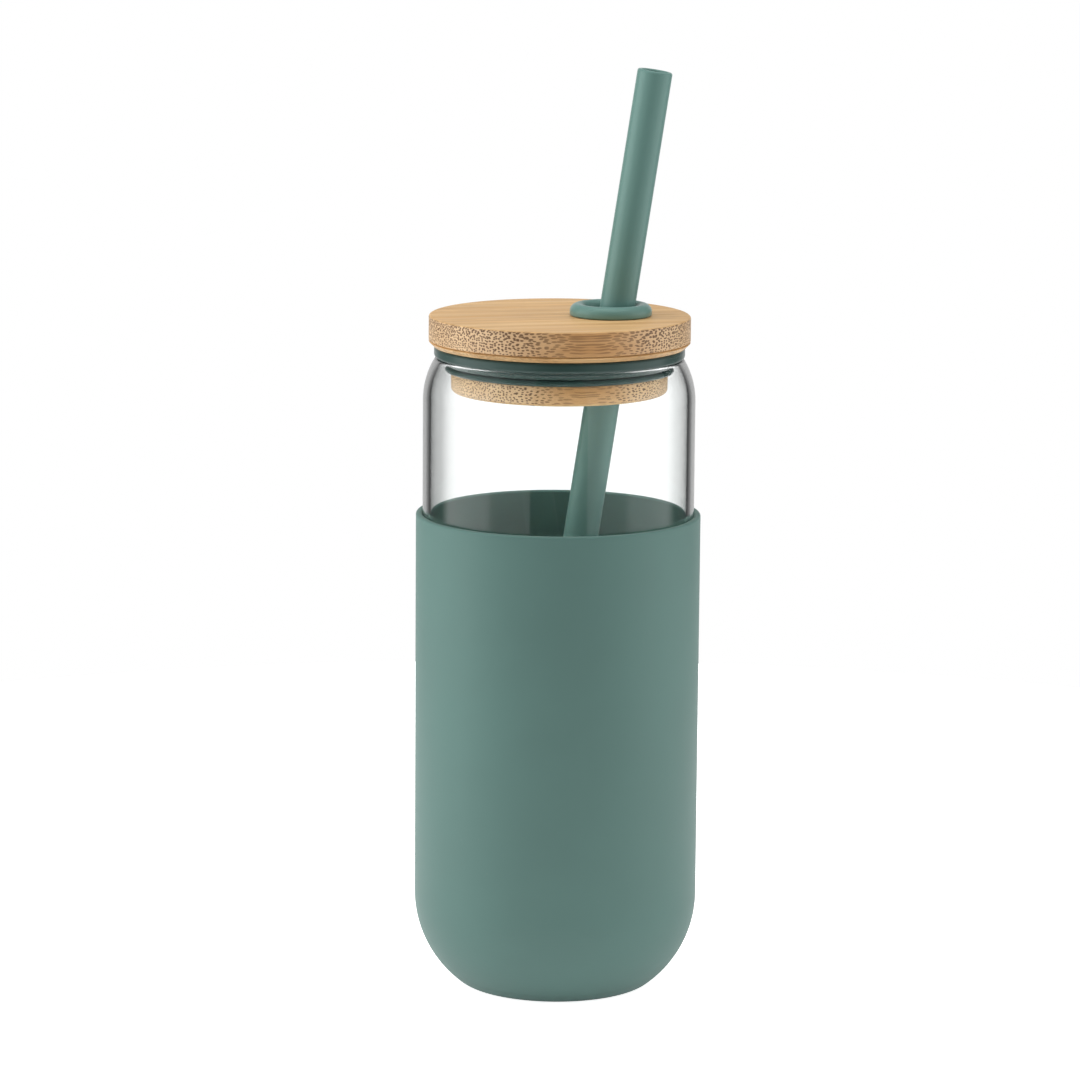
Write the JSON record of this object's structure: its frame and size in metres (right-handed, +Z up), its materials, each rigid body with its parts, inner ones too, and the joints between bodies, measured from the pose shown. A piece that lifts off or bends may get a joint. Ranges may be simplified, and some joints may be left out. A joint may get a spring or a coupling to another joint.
{
  "type": "lidded drinking tumbler",
  "caption": "Clear glass drinking tumbler in a silicone sleeve, with a turned bamboo lid sealed by a ribbed silicone ring, and a leaning silicone straw through a beaded hole.",
  "frame": {"origin": "centre of the sleeve's flat base, where the bottle stands", "axes": "+Z up along the tumbler's axis; the straw leans in the XZ plane, its top towards +X; the picture looks along +Y"},
  "size_m": [0.08, 0.08, 0.2602],
  "materials": {
    "sleeve_silicone": "matt silicone rubber",
    "clear_glass": "clear, polished",
    "seal_silicone": "satin silicone rubber",
    "bamboo": "sanded bamboo, lightly oiled",
    "grommet_silicone": "satin silicone rubber",
    "straw_silicone": "satin silicone rubber"
  },
  "bodies": {
    "sleeve": {"silicone_sleeve": "sleeve_silicone"},
    "tumbler": {"glass_tumbler": "clear_glass"},
    "seal": {"seal_ring": "seal_silicone"},
    "lid": {"bamboo_lid": "bamboo"},
    "grommet": {"straw_grommet": "grommet_silicone"},
    "straw": {"drinking_straw": "straw_silicone"}
  },
  "joints": [
    {"name": "glass_lift_out", "type": "slide", "parent": "sleeve", "child": "tumbler", "axis": [0, 0, 1], "range_m": [0, 0.14]},
    {"name": "lid_lift", "type": "slide", "parent": "tumbler", "child": "seal", "axis": [0, 0, 1], "range_m": [0, 0.18]},
    {"name": "lid_turn", "type": "hinge", "parent": "seal", "child": "lid", "pos_m": [0, 0, 0.1826], "axis": [0, 0, 1], "continuous": true},
    {"name": "straw_swivel", "type": "hinge", "parent": "lid", "child": "grommet", "pos_m": [0.0142, 0, 0.18132], "axis": [0, 0, 1], "range_deg": [-40, 40]},
    {"name": "straw_slide", "type": "slide", "parent": "grommet", "child": "straw", "axis": [0.1467, 0, 0.9892], "range_m": [0, 0.2]}
  ]
}
